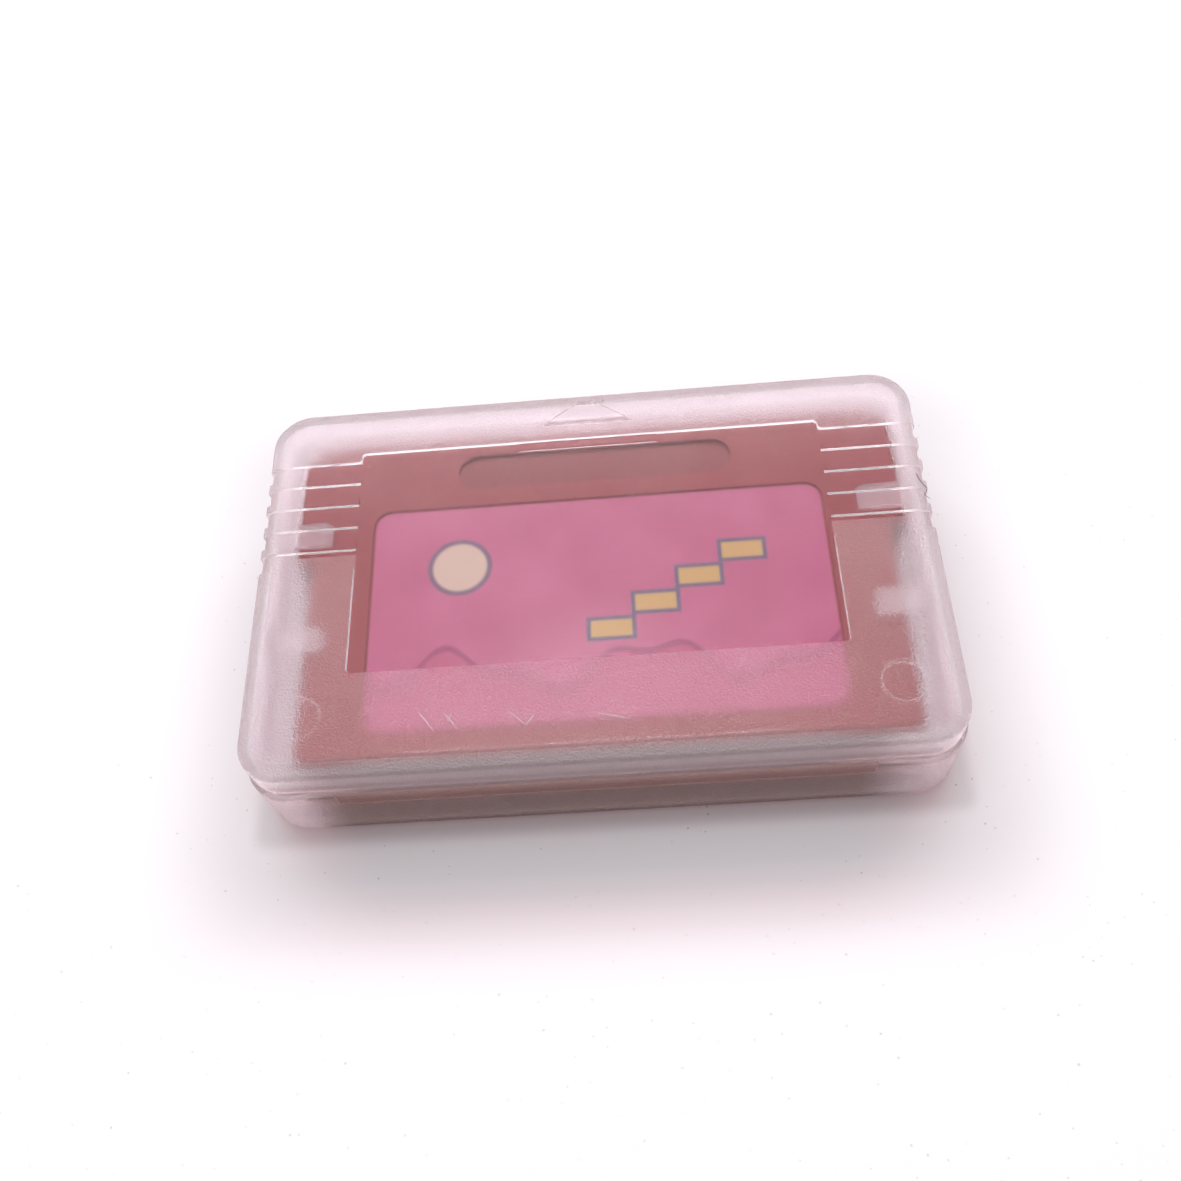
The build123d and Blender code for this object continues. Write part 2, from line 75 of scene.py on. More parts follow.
# %% Helper: one material and its nodes
class Finish:
    """One material's node tree, with a Principled shader and short calls for other nodes."""

    def __init__(self, name):
        self.material = bpy.data.materials.new(name)
        self.material.use_nodes = True
        self.tree = self.material.node_tree
        self.tree.nodes.clear()
        self.output = self.node("ShaderNodeOutputMaterial")
        self.shader = self.node("ShaderNodeBsdfPrincipled")
        self.tree.links.new(self.shader.outputs[0], self.output.inputs["Surface"])

    def node(self, kind, **settings):
        made = self.tree.nodes.new(kind)
        for setting, value in settings.items():
            setattr(made, setting, value)
        return made

    def feed(self, socket, value):
        """Links a socket to another node's output, or sets it to a plain value."""
        if isinstance(value, bpy.types.NodeSocket):
            self.tree.links.new(value, socket)
        else:
            socket.default_value = value

    def set(self, **values):
        """Sets the shader's own sockets, named in lower case with underscores."""
        sockets = {socket.name.lower().replace(" ", "_"): socket for socket in self.shader.inputs}
        for name, value in values.items():
            self.feed(sockets[name], value)

    def math(self, operation, first, second=0.0):
        made = self.node("ShaderNodeMath", operation=operation)
        self.feed(made.inputs[0], first)
        self.feed(made.inputs[1], second)
        return made.outputs[0]

    def apart(self, first, second):
        """The distance made by two offsets at right angles."""
        squares = [self.math("MULTIPLY", offset, offset) for offset in (first, second)]
        return self.math("SQRT", self.math("ADD", *squares))

    def smooth(self, value, low, high):
        """0 below low, 1 above high and a soft step between. It falls instead if low is above high."""
        made = self.node("ShaderNodeMapRange", interpolation_type="SMOOTHSTEP")
        rising = low < high
        self.feed(made.inputs["Value"], value)
        made.inputs["From Min"].default_value = min(low, high)
        made.inputs["From Max"].default_value = max(low, high)
        made.inputs["To Min"].default_value = 0.0 if rising else 1.0
        made.inputs["To Max"].default_value = 1.0 if rising else 0.0
        return made.outputs["Result"]

    def spread(self, value, low, high, from_low=0.0, from_high=1.0):
        """Stretches a value from one range to another."""
        made = self.node("ShaderNodeMapRange")
        self.feed(made.inputs["Value"], value)
        made.inputs["From Min"].default_value = from_low
        made.inputs["From Max"].default_value = from_high
        made.inputs["To Min"].default_value = low
        made.inputs["To Max"].default_value = high
        return made.outputs["Result"]

    def band(self, value, low, high, soft):
        """1 between low and high, with soft edges."""
        rise = self.smooth(value, low - soft, low + soft)
        fall = self.smooth(value, high + soft, high - soft)
        return self.math("MULTIPLY", rise, fall)

    def place(self, origin=(0, 0, 0)):
        """The point on the piece in millimetres from origin, as a vector and as x, y and z."""
        where = self.node("ShaderNodeTexCoord").outputs["Object"]
        scaled = self.node("ShaderNodeMapping")
        scaled.inputs["Location"].default_value = [-value for value in origin]
        scaled.inputs["Scale"].default_value = (1 / MM,) * 3
        self.feed(scaled.inputs["Vector"], where)
        split = self.node("ShaderNodeSeparateXYZ")
        self.feed(split.inputs[0], scaled.outputs[0])
        return scaled.outputs[0], split.outputs[0], split.outputs[1], split.outputs[2]

    def noise(self, vector, per_mm, detail=2.0, roughness=0.5):
        """Cloudy noise from 0 to 1, with about this many features in a millimetre."""
        made = self.node("ShaderNodeTexNoise")
        made.inputs["Scale"].default_value = per_mm
        made.inputs["Detail"].default_value = detail
        made.inputs["Roughness"].default_value = roughness
        self.feed(made.inputs["Vector"], vector)
        return made.outputs["Fac"]

    def colour(self, factor, first, second):
        """A colour between two others."""
        made = self.node("ShaderNodeMix", data_type="RGBA")
        self.feed(made.inputs["Factor"], factor)
        self.feed(made.inputs["A"], (*first, 1) if isinstance(first, tuple) else first)
        self.feed(made.inputs["B"], (*second, 1) if isinstance(second, tuple) else second)
        return made.outputs["Result"]

    def between(self, factor, first, second):
        """A number between two others."""
        made = self.node("ShaderNodeMix")
        self.feed(made.inputs["Factor"], factor)
        self.feed(made.inputs["A"], first)
        self.feed(made.inputs["B"], second)
        return made.outputs[0]

    def bump(self, height, depth_mm, strength=1.0):
        """A normal bent by a height from 0 to 1 that stands for this depth."""
        made = self.node("ShaderNodeBump")
        self.feed(made.inputs["Strength"], strength)
        made.inputs["Distance"].default_value = depth_mm * MM
        self.feed(made.inputs["Height"], height)
        return made.outputs[0]


# %% Helpers: dress a CAD piece, add a new one
def dress(material, *names):
    """Gives CAD pieces a material in every slot they have."""
    for name in names:
        slots = parts[name].data.materials
        slots.clear()
        slots.append(material)


def add_piece(name, mesh, material):
    """Puts a mesh into the scene as a new object with one material."""
    mesh.materials.append(material)
    piece = bpy.data.objects.new(name, mesh)
    bpy.context.scene.collection.objects.link(piece)
    return piece


print("helpers ready")

# %% [markdown]
# ## Frosted case plastic
#
# The case is moulded polypropylene about a millimetre thick. The mould was sand-blasted, so most of
# the outer skin is rough, sparkles finely and blurs what lies behind. In the shallow recess of the
# lid and on the arrow the mould was polished, and there the cartridge shows clearly. The inside is
# polished too, apart from faint rings where the ejector pins pushed the lid out of its mould.
#
# A volume shader could make the plastic cloudy, but it is slow and noisy. Here the walls are real
# solids of refracting plastic. Their roughness changes from place to place, and upright walls are so
# rough that they glow when light stands behind them. A small share of plain white surface makes the
# base cloudier than the lid. Light has to reach the cartridge through the lid, so for shadow rays
# and for light that bounced off something dull, the plastic turns see-through with a little tint.

# %% Where the lid is polished
panel_half_width = 22.2
panel_near_y = -9.9
panel_far_y = 14.0
wing_middle_x = 0.4
wing_half_width = 28.4
wing_near_y = 2.55
wing_far_y = 13.0
arrow_half_width = 4.6
arrow_tip_half_width = 0.85
arrow_near_y = 15.7
arrow_tip_y = 18.25
sharp = 0.05
wing_soft = 0.3


def polished_share(finish, x, y):
    """1 on the lid's smooth recess and its arrow, 0 on the sand-blasted rest, by plan position."""
    across = finish.math("ABSOLUTE", x)
    panel_wide = finish.smooth(across, panel_half_width + sharp, panel_half_width - sharp)
    panel = finish.math("MULTIPLY", panel_wide, finish.band(y, panel_near_y, panel_far_y, sharp))

    from_middle = finish.math("ABSOLUTE", finish.math("SUBTRACT", x, wing_middle_x))
    wings_wide = finish.smooth(from_middle, wing_half_width + wing_soft, wing_half_width - wing_soft)
    wings = finish.math("MULTIPLY", wings_wide, finish.band(y, wing_near_y, wing_far_y, sharp))

    narrowing = finish.spread(y, arrow_half_width, arrow_tip_half_width, arrow_near_y, arrow_tip_y)
    arrow_wide = finish.smooth(finish.math("SUBTRACT", narrowing, across), -sharp, sharp)
    arrow = finish.math("MULTIPLY", arrow_wide, finish.band(y, arrow_near_y, arrow_tip_y, sharp))
    return finish.math("MAXIMUM", arrow, finish.math("MAXIMUM", panel, wings))


# %% Where the walls face inwards
hollow_half_width = 30.95
hollow_half_depth = 19.05
hollow_top_z = 11.75
hollow_floor_z = 0.5


def inner_share(finish, x, y, z):
    """1 on the polished inside of both halves, 0 on their outer skin."""
    across = finish.math("ABSOLUTE", x)
    along = finish.math("ABSOLUTE", y)
    wide = finish.smooth(across, hollow_half_width + sharp, hollow_half_width - sharp)
    deep = finish.smooth(along, hollow_half_depth + sharp, hollow_half_depth - sharp)
    high = finish.band(z, hollow_floor_z, hollow_top_z, sharp)
    return finish.math("MULTIPLY", high, finish.math("MULTIPLY", wide, deep))


# %% Where the ejector pins stood
ring_across = 26.2
ring_near_y = -13.95
ring_far_y = 15.6
ring_radius = 1.95
ring_half_line = 0.06


def ring_share(finish, x, y):
    """1 on the sharp rim of the four ejector marks in the lid's ceiling."""
    across = finish.math("SUBTRACT", finish.math("ABSOLUTE", x), ring_across)
    near = finish.math("ABSOLUTE", finish.math("SUBTRACT", y, ring_near_y))
    far = finish.math("ABSOLUTE", finish.math("SUBTRACT", y, ring_far_y))
    away = finish.apart(across, finish.math("MINIMUM", near, far))
    return finish.band(away, ring_radius - ring_half_line, ring_radius + ring_half_line, 0.04)


# %% [markdown]
# ### Milk and shade
#
# The real plastic looks whiter where light has to cross more of it: on the bevel round the lid's roof,
# on the rim of the base and on its holding tabs. Those places get a larger share of white surface.
# The near wall is different. The cartridge's dark end stands right behind it and keeps the back light
# away, so it looks grey and even. The gap behind the modelled wall still lets some of that light
# through, so part of that shade is painted into the wall's colour, fading towards the corners, with a
# darker painted shade along the lid's lower edge there.

# %% Which surfaces are outer walls
wall_from_x = 29.3
wall_from_y = 17.55


def wall_shares(finish, x, y):
    """How steep a surface is, and how far it belongs to an outer wall, each from 0 to 1."""
    facing = finish.node("ShaderNodeSeparateXYZ")
    finish.feed(facing.inputs[0], finish.node("ShaderNodeTexCoord").outputs["Normal"])
    steep = finish.smooth(finish.math("ABSOLUTE", facing.outputs[2]), 0.95, 0.55)
    at_side = finish.smooth(finish.math("ABSOLUTE", x), wall_from_x, wall_from_x + 0.4)
    at_end = finish.smooth(finish.math("ABSOLUTE", y), wall_from_y, wall_from_y + 0.25)
    return steep, finish.math("MULTIPLY", steep, finish.math("MAXIMUM", at_side, at_end))


# %% Where the plastic is whiter
roof_half_width = 30.15
roof_half_depth = 18.25
bevel_low_z = 11.94
rim_z = 8.9
tab_z = 9.2
shade_middle_x = -0.5


def from_shade_middle(finish, x):
    """The distance along the case from the middle of the shaded stretch."""
    return finish.math("ABSOLUTE", finish.math("SUBTRACT", x, shade_middle_x))


def lid_milk(finish, milk, x, y, z):
    """More white on the ejector marks, on the bevel and on the middle of the near side."""
    milk = finish.between(ring_share(finish, x, y), milk, 0.22)

    across = finish.math("ABSOLUTE", x)
    along = finish.math("ABSOLUTE", y)
    past_side = finish.smooth(across, roof_half_width - sharp, roof_half_width + sharp)
    past_end = finish.smooth(along, roof_half_depth - sharp, roof_half_depth + sharp)
    high = finish.smooth(z, bevel_low_z - 0.04, bevel_low_z + 0.04)
    bevel = finish.math("MULTIPLY", finish.math("MAXIMUM", past_side, past_end), high)
    # The back light already whitens the far bevel, so it needs less.
    bevel_milk = finish.spread(finish.smooth(y, 17.0, 18.3), 0.22, 0.06)
    milk = finish.between(bevel, milk, bevel_milk)

    near = finish.smooth(y, sharp - roof_half_depth, -sharp - roof_half_depth)
    middle = finish.smooth(from_shade_middle(finish, x), 23.5, 18.0)
    return finish.between(finish.math("MULTIPLY", near, middle), milk, 0.35)


def base_milk(finish, milk, z):
    """A little white on the rim of the base and more on its holding tabs."""
    milk = finish.between(finish.smooth(z, rim_z, rim_z + 0.25), milk, 0.1)
    return finish.between(finish.smooth(z, tab_z, tab_z + 0.06), milk, 0.25)


# %% Where the near wall gets painted shade
def near_shade_share(finish, y, bevel_share):
    """Where the painted shade goes: 1 on the near wall, and this share on the bevel above it."""
    bevel = finish.spread(finish.smooth(y, -17.9, -18.4), 0.0, bevel_share)
    return finish.math("MAXIMUM", bevel, finish.smooth(y, -19.4, -19.62))


def case_tint_and_shade(finish, clouds, x, y, z, near_shade_colour, is_lid):
    """Faintly pink, with painted shade on the near wall and darker painted shade along the lid's lower
    edge there.
    """
    body = finish.colour(clouds, (0.95, 0.895, 0.93), (0.985, 0.93, 0.965))
    near = near_shade_share(finish, y, 1.0 if is_lid else 0.45)
    middle = finish.smooth(from_shade_middle(finish, x), 27.5, 22.5)
    # Painted shade on the near wall, fading towards the corners.
    body = finish.colour(finish.math("MULTIPLY", near, middle), body, near_shade_colour)
    if is_lid:
        # A darker painted shade along the lid's lower edge on the near side.
        lower_edge_shade = finish.math("MULTIPLY", near, finish.smooth(z, 9.4, 8.7))
        body = finish.colour(lower_edge_shade, body, (0.32, 0.28, 0.285))
    return body


# %% Let light in
def let_light_in(finish, tint):
    """Shadow rays and light bounced off the cartridge pass the plastic unbent, a little tinted."""
    see_through = finish.node("ShaderNodeBsdfTransparent")
    finish.feed(see_through.inputs[0], tint)
    rays = finish.node("ShaderNodeLightPath")
    shown = finish.shader.outputs[0]
    for kind in ("Is Diffuse Ray", "Is Shadow Ray"):
        either = finish.node("ShaderNodeMixShader")
        finish.feed(either.inputs[0], rays.outputs[kind])
        finish.feed(either.inputs[1], shown)
        finish.feed(either.inputs[2], see_through.outputs[0])
        shown = either.outputs[0]
    finish.feed(finish.output.inputs["Surface"], shown)


# %% Make the case plastic
grain_per_mm = 6.0
clouds_per_mm = 0.12
grain_depth = 0.08


def case_plastic(name, skin_milk, wall_milk, tint, near_shade_colour, is_lid):
    finish = Finish(name)
    vector, x, y, z = finish.place()
    grain = finish.noise(vector, grain_per_mm, detail=0.0)
    clouds = finish.noise(vector, clouds_per_mm, detail=1.0)
    polished = inner_share(finish, x, y, z)
    if is_lid:
        polished = finish.math("MAXIMUM", polished, polished_share(finish, x, y))
    blasted = finish.math("SUBTRACT", 1.0, polished)
    skin = finish.between(blasted, finish.spread(clouds, 0.15, 0.20), finish.spread(grain, 0.28, 0.36))

    steep, wall = wall_shares(finish, x, y)
    milk = finish.between(wall, skin_milk, wall_milk)
    milk = lid_milk(finish, milk, x, y, z) if is_lid else base_milk(finish, milk, z)
    finish.set(
        base_color=case_tint_and_shade(finish, clouds, x, y, z, near_shade_colour, is_lid),
        roughness=finish.between(wall, skin, 0.7),
        ior=1.49,
        transmission_weight=finish.math("SUBTRACT", 1.0, milk),
        normal=finish.bump(grain, grain_depth, finish.math("MULTIPLY", blasted, 0.9)),
    )
    let_light_in(finish, finish.colour(steep, tint, (0.80, 0.69, 0.70)))
    return finish.material


# The near colours are the painted shade of each half's near wall.
lid_plastic = case_plastic(
    "frosted_lid", 0.004, 0.05, tint=(0.92, 0.86, 0.87), near_shade_colour=(0.69, 0.605, 0.63), is_lid=True)
base_plastic = case_plastic(
    "frosted_base", 0.4, 0.1, tint=(0.95, 0.88, 0.89), near_shade_colour=(0.52, 0.38, 0.35), is_lid=False)
dress(lid_plastic, "case_lid")
dress(base_plastic, "case_base")
print("case plastic on case_lid and case_base")

# %% [markdown]
# ## The film hinge
#
# Lid and base are one moulding, joined along the near edge by a strip thin enough to fold. In CAD
# the strip is a stiff bar. Here the bar is hidden, and a thin sheet with many rows of points takes its
# place, drawn in a little at its waist.

# %% Make the film hinge
waist_depth = 0.06 * MM


def film_hinge(rows=16, columns=48):
    """A thin closed sheet in many rows, drawn in a little at its waist."""
    low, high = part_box("hinge_film")
    mesh = bpy.data.meshes.new("bending_film")
    shape = bmesh.new()
    bmesh.ops.create_grid(shape, x_segments=columns, y_segments=rows, size=0.5)
    for vertex in shape.verts:
        across = low.x + (vertex.co.x + 0.5) * (high.x - low.x)
        up = low.z + (vertex.co.y + 0.5) * (high.z - low.z)
        waist = 1 - abs(2 * vertex.co.y)
        vertex.co = (across, low.y + waist_depth * waist, up)
    flat = list(shape.faces)
    bmesh.ops.recalc_face_normals(shape, faces=flat)
    bmesh.ops.solidify(shape, geom=flat, thickness=high.y - low.y - 2 * waist_depth)
    bmesh.ops.recalc_face_normals(shape, faces=list(shape.faces))
    shape.to_mesh(mesh)
    shape.free()
    piece = add_piece("bending_film", mesh, base_plastic)
    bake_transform(piece)
    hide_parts("hinge_film")
    return piece


film = film_hinge()
print("film hinge faces:", len(film.data.polygons))

# %% [markdown]
# ## Cartridge shell
#
# The two shells are dyed through, dark red, with the fine even grain that a spark-eroded mould
# leaves. The sunken badge above the label is bare, and its floor is painted darker as shade in the
# recess. Through the lid only the colour counts, but the case opens, and then the grain shows.

# %% Make the shell plastic
shell_low, shell_high = (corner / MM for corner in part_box("cartridge_front_shell"))
shell_middle_x = (shell_low.x + shell_high.x) / 2
badge_y = shell_high.y - 4.35
badge_half_length = 11.5
badge_radius = 1.985


def badge_shade_share(finish, x, y):
    """1 on the sunken badge, a slot with round ends, where the colour carries painted shade."""
    across = finish.math("ABSOLUTE", finish.math("SUBTRACT", x, shell_middle_x))
    past_end = finish.math("MAXIMUM", finish.math("SUBTRACT", across, badge_half_length), 0.0)
    away = finish.apart(past_end, finish.math("SUBTRACT", y, badge_y))
    return finish.smooth(away, badge_radius + 0.06, badge_radius - 0.06)


def shell_plastic():
    finish = Finish("shell_red")
    vector, x, y, z = finish.place()
    grain = finish.noise(vector, 9.0, detail=2.0)
    clouds = finish.noise(vector, 0.2, detail=3.0)
    body = finish.colour(clouds, (0.30, 0.026, 0.032), (0.37, 0.036, 0.043))
    # The badge gets a darker colour as painted shade in its recess.
    finish.set(
        base_color=finish.colour(badge_shade_share(finish, x, y), body, (0.26, 0.020, 0.025)),
        roughness=finish.spread(grain, 0.42, 0.56),
        ior=1.5,
        normal=finish.bump(grain, 0.03, 0.35),
    )
    return finish.material


dress(shell_plastic(), "cartridge_front_shell", "cartridge_rear_shell")
print("shell plastic on both shells")

# %% [markdown]
# ## Label
#
# The label is coated paper in pink with a few printed shapes: a pale moon, deeper pink hills and a
# flight of yellow steps. Each shape is a formula in millimetres from the label's middle, so the print
# stays sharp at any distance and needs no picture file.

# %% Shapes to print
label_low, label_high = (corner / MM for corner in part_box("front_label"))
label_middle = (label_low + label_high) / 2
ridge_height = -6.6


def block(finish, u, v, middle, size, soft=0.06):
    """A filled rectangle on the label."""
    wide = finish.band(u, middle[0] - size[0] / 2, middle[0] + size[0] / 2, soft)
    tall = finish.band(v, middle[1] - size[1] / 2, middle[1] + size[1] / 2, soft)
    return finish.math("MULTIPLY", wide, tall)


def disc(finish, u, v, middle, radius, soft=0.08):
    """A filled circle on the label."""
    away = finish.apart(finish.math("SUBTRACT", u, middle[0]), finish.math("SUBTRACT", v, middle[1]))
    return finish.smooth(away, radius + soft, radius - soft)


def over_hills(finish, u, v):
    """The height above a wavy ridge, made of a slow and a quick wave."""
    slow = finish.math("SINE", finish.math("MULTIPLY", u, 0.34))
    quick = finish.math("SINE", finish.math("ADD", finish.math("MULTIPLY", u, 0.83), 1.1))
    ridge = finish.math("ADD", finish.math("MULTIPLY", slow, 1.9), finish.math("MULTIPLY", quick, 0.8))
    return finish.math("SUBTRACT", v, finish.math("ADD", ridge, ridge_height))


# %% Print the label
moon_middle = (-13.2, 5.0)
first_step = (1.0, -2.6)
step_across, step_up = 4.2, 2.5


def label_print():
    finish = Finish("label_print")
    vector, u, v, z = finish.place(label_middle)
    paper = finish.noise(vector, 6.0, detail=3.0)
    clouds = finish.noise(vector, 0.16, detail=2.0)
    ink = finish.colour(clouds, (0.55, 0.075, 0.21), (0.72, 0.16, 0.34))
    above = over_hills(finish, u, v)
    ink = finish.colour(finish.smooth(above, 0.75, 0.55), ink, (0.40, 0.04, 0.16))
    ink = finish.colour(finish.smooth(above, 0.1, -0.1), ink, (0.60, 0.085, 0.23))
    ink = finish.colour(disc(finish, u, v, moon_middle, 3.1), ink, (0.20, 0.10, 0.20))
    ink = finish.colour(disc(finish, u, v, moon_middle, 2.6), ink, (0.83, 0.66, 0.52))
    for step in range(4):
        middle = (first_step[0] + step_across * step, first_step[1] + step_up * step)
        ink = finish.colour(block(finish, u, v, middle, (4.6, 2.5)), ink, (0.13, 0.10, 0.20))
        ink = finish.colour(block(finish, u, v, middle, (3.8, 1.7)), ink, (0.75, 0.50, 0.15))
    finish.set(
        base_color=ink,
        roughness=finish.spread(paper, 0.30, 0.42),
        coat_weight=0.25,
        coat_roughness=0.2,
        normal=finish.bump(paper, 0.008, 0.3),
    )
    return finish.material


dress(label_print(), "front_label")
print("label printed, middle at", [round(value, 2) for value in label_middle])

# %% [markdown]
# ## Board and components
#
# Inside the shells are a green board with gold contacts, black chips with tinned leads, a coin cell
# and small ceramic parts. Nothing opens the shells, so these finishes are simple, but each has the
# slight variation that its real surface has.

# %% Plain finishes with a little variation
def mottled(name, dark, light, rough_low, rough_high, metallic, per_mm):
    finish = Finish(name)
    vector, x, y, z = finish.place()
    clouds = finish.noise(vector, per_mm, detail=3.0)
    finish.set(
        base_color=finish.colour(clouds, dark, light),
        roughness=finish.spread(clouds, rough_low, rough_high),
        metallic=metallic,
        normal=finish.bump(clouds, 0.01, 0.3),
    )
    return finish.material


# Each row: darker colour, lighter colour, lowest and highest roughness, metallic, features in a mm.
component_finishes = {
    "solder_mask": ((0.010, 0.10, 0.045), (0.015, 0.14, 0.06), 0.25, 0.4, 0.0, 1.5),
    "contact_gold": ((0.80, 0.56, 0.22), (0.88, 0.66, 0.30), 0.2, 0.35, 1.0, 3.0),
    "chip_moulding": ((0.012, 0.012, 0.013), (0.022, 0.022, 0.024), 0.45, 0.6, 0.0, 8.0),
    "tinned_leads": ((0.62, 0.62, 0.64), (0.74, 0.74, 0.75), 0.25, 0.45, 1.0, 4.0),
    "cell_steel": ((0.60, 0.60, 0.62), (0.72, 0.72, 0.74), 0.18, 0.35, 1.0, 2.0),
    "screw_zinc": ((0.55, 0.55, 0.57), (0.70, 0.70, 0.71), 0.22, 0.4, 1.0, 3.0),
    "ceramic_tan": ((0.34, 0.22, 0.13), (0.42, 0.28, 0.17), 0.4, 0.55, 0.0, 5.0),
    "resistor_black": ((0.016, 0.017, 0.022), (0.03, 0.03, 0.036), 0.35, 0.5, 0.0, 6.0),
}

# %% Dress the components
finishes = {name: mottled(name, *values) for name, values in component_finishes.items()}
dress(finishes["solder_mask"], "circuit_board")
dress(finishes["contact_gold"], "edge_contacts")
dress(finishes["chip_moulding"], "rom_chip", "save_chip", "clock_chip")
dress(finishes["tinned_leads"], "rom_chip_leads", "save_chip_leads", "clock_chip_leads")
dress(finishes["tinned_leads"], "crystal_leads", "capacitor_ends", "resistor_ends")
dress(finishes["cell_steel"], "battery_cell", "battery_positive_tab", "battery_negative_tab")
dress(finishes["cell_steel"], "clock_crystal")
dress(finishes["screw_zinc"], "shell_screw")
dress(finishes["ceramic_tan"], "capacitors")
dress(finishes["resistor_black"], "resistors")
print("component finishes:", ", ".join(sorted(finishes)))

# %% [markdown]
# ## Traces of use
#
# The lid has been handled. A short dark hair lies over its right edge, thin pale scratches cross the
# near part, and dust sits in the blasted skin. Marks could be painted into the plastic, but then they
# have no thickness. Each one here is a small closed solid that rides on the lid.

# %% Finish and shape of a thin mark
def plain_matt(name, dark, light):
    finish = Finish(name)
    vector, x, y, z = finish.place()
    finish.set(base_color=finish.colour(finish.noise(vector, 3.0), dark, light), roughness=0.6)
    return finish.material


def strand(name, points, radius, material, sides=6):
    """A thin closed tube through points given in millimetres, tapered at both ends."""
    stops = [Vector(point) for point in points]
    up = Vector((0, 0, 1))
    corners, faces = [], []
    for index, stop in enumerate(stops):
        before = stops[max(index - 1, 0)]
        after = stops[min(index + 1, len(stops) - 1)]
        sideways = (after - before).cross(up).normalized()
        thin = 0.4 if index in (0, len(stops) - 1) else 1.0
        for side in range(sides):
            turn = 2 * math.pi * side / sides
            offset = math.cos(turn) * sideways + math.sin(turn) * up
            corners.append((stop + radius * thin * offset) * MM)
        if index:
            for side in range(sides):
                here = (index - 1) * sides + side
                beside = (index - 1) * sides + (side + 1) % sides
                faces.append((here, beside, beside + sides, here + sides))
    faces.append(tuple(reversed(range(sides))))
    faces.append(tuple(range(len(corners) - sides, len(corners))))
    mesh = bpy.data.meshes.new(name)
    mesh.from_pydata(corners, [], faces)
    piece = add_piece(name, mesh, material)
    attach(piece, "lid")
    return piece


# %% Lay the hair and the scratches
skin_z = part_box("case_lid")[1].z / MM - 0.12
hair_radius = 0.032
scratch_radius = 0.05

hair_dark = plain_matt("hair_dark", (0.06, 0.04, 0.05), (0.10, 0.07, 0.08))
hair_path = [
    (30.55, 7.05, 12.36), (30.62, 6.92, 12.34), (30.69, 6.46, 12.32), (30.9, 6.1, 12.26),
    (31.12, 5.74, 12.19), (31.34, 5.44, 12.13), (31.23, 5.06, 12.16), (30.99, 4.69, 12.23),
    (31.16, 4.46, 12.18), (31.48, 4.22, 12.1),
]
strand("hair", hair_path, hair_radius, hair_dark)

scratch_white = plain_matt("scratch_white", (0.92, 0.86, 0.89), (0.98, 0.93, 0.95))
scratch_ends = [
    ((-7.5, -14.73), (-6.15, -16.02)),
    ((-6.15, -16.02), (-5.35, -14.95)),
    ((-15.55, -14.15), (-14.1, -16.05)),
    ((-13.3, -14.35), (-12.05, -16.05)),
    ((-12.6, -14.4), (-12.95, -15.2)),
    ((-0.3, -15.2), (2.7, -16.0)),
]
for number, (start, end) in enumerate(scratch_ends):
    middle = ((start[0] + end[0]) / 2 + 0.03, (start[1] + end[1]) / 2 + 0.02)
    path = [(*spot, skin_z) for spot in (start, middle, end)]
    strand(f"scratch_{number}", path, scratch_radius, scratch_white)
print("hair and", len(scratch_ends), "scratches on the lid")


# %% Scatter dust
def dust(name, spots, material):
    """Tiny eight-sided grains as one mesh. A spot is x, y, z and radius in millimetres."""
    corners, faces = [], []
    for x, y, z, radius in spots:
        first = len(corners)
        middle = Vector((x, y, z))
        for axis in (Vector((1, 0, 0)), Vector((0, 1, 0)), Vector((0, 0, 1))):
            corners += [(middle + radius * axis) * MM, (middle - radius * axis) * MM]
        for a, b in ((0, 2), (2, 1), (1, 3), (3, 0)):
            faces += [(first + a, first + b, first + 4), (first + b, first + a, first + 5)]
    mesh = bpy.data.meshes.new(name)
    mesh.from_pydata(corners, [], faces)
    return add_piece(name, mesh, material)


# Each row: x and y of the middle, how far the grains reach, and how many there are.
dust_patches = [
    (-23.5, -12.5, 3.5, 26),
    (-3.0, -15.2, 1.2, 12),
    (-8.2, -15.1, 1.0, 12),
    (-13.2, -14.8, 1.2, 10),
    (24.0, -13.0, 3.5, 10),
]
near_crease_y = -17.9
chance = random.Random(11)
grains = []
for middle_x, middle_y, reach, count in dust_patches:
    for _ in range(count):
        x = chance.gauss(middle_x, reach)
        y = max(chance.gauss(middle_y, 0.5 * reach), near_crease_y)
        grains.append((x, y, skin_z + 0.01, chance.uniform(0.025, 0.045)))
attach(dust("pale_dust", grains, scratch_white), "lid")
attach(dust("dark_speck", [(1.71, 18.5, skin_z - 0.04, 0.075)], hair_dark), "lid")
print("dust grains:", len(grains) + 1)

# %% [markdown]
# ## Floor and light
#
# The case lies on a plain white sheet. A long low softbox stands behind it like a window and lights
# the case from the back, so the far walls glow, the near walls stay dark and a short shadow falls to
# the front. A weaker softbox above lights the cartridge through the lid, and an even dim room fills
# the rest. The sheet would render grey at this plain level of light. A little glow that only the
# camera and mirrored or refracted rays see lifts it to white, and near the case the glow fades so that
# the shadow stays. In the same way the room's walls look white at eye level, while dull surfaces get
# no more light from them.

# %% Lay the floor
foot_half_width = 31.85
foot_half_depth = 19.95


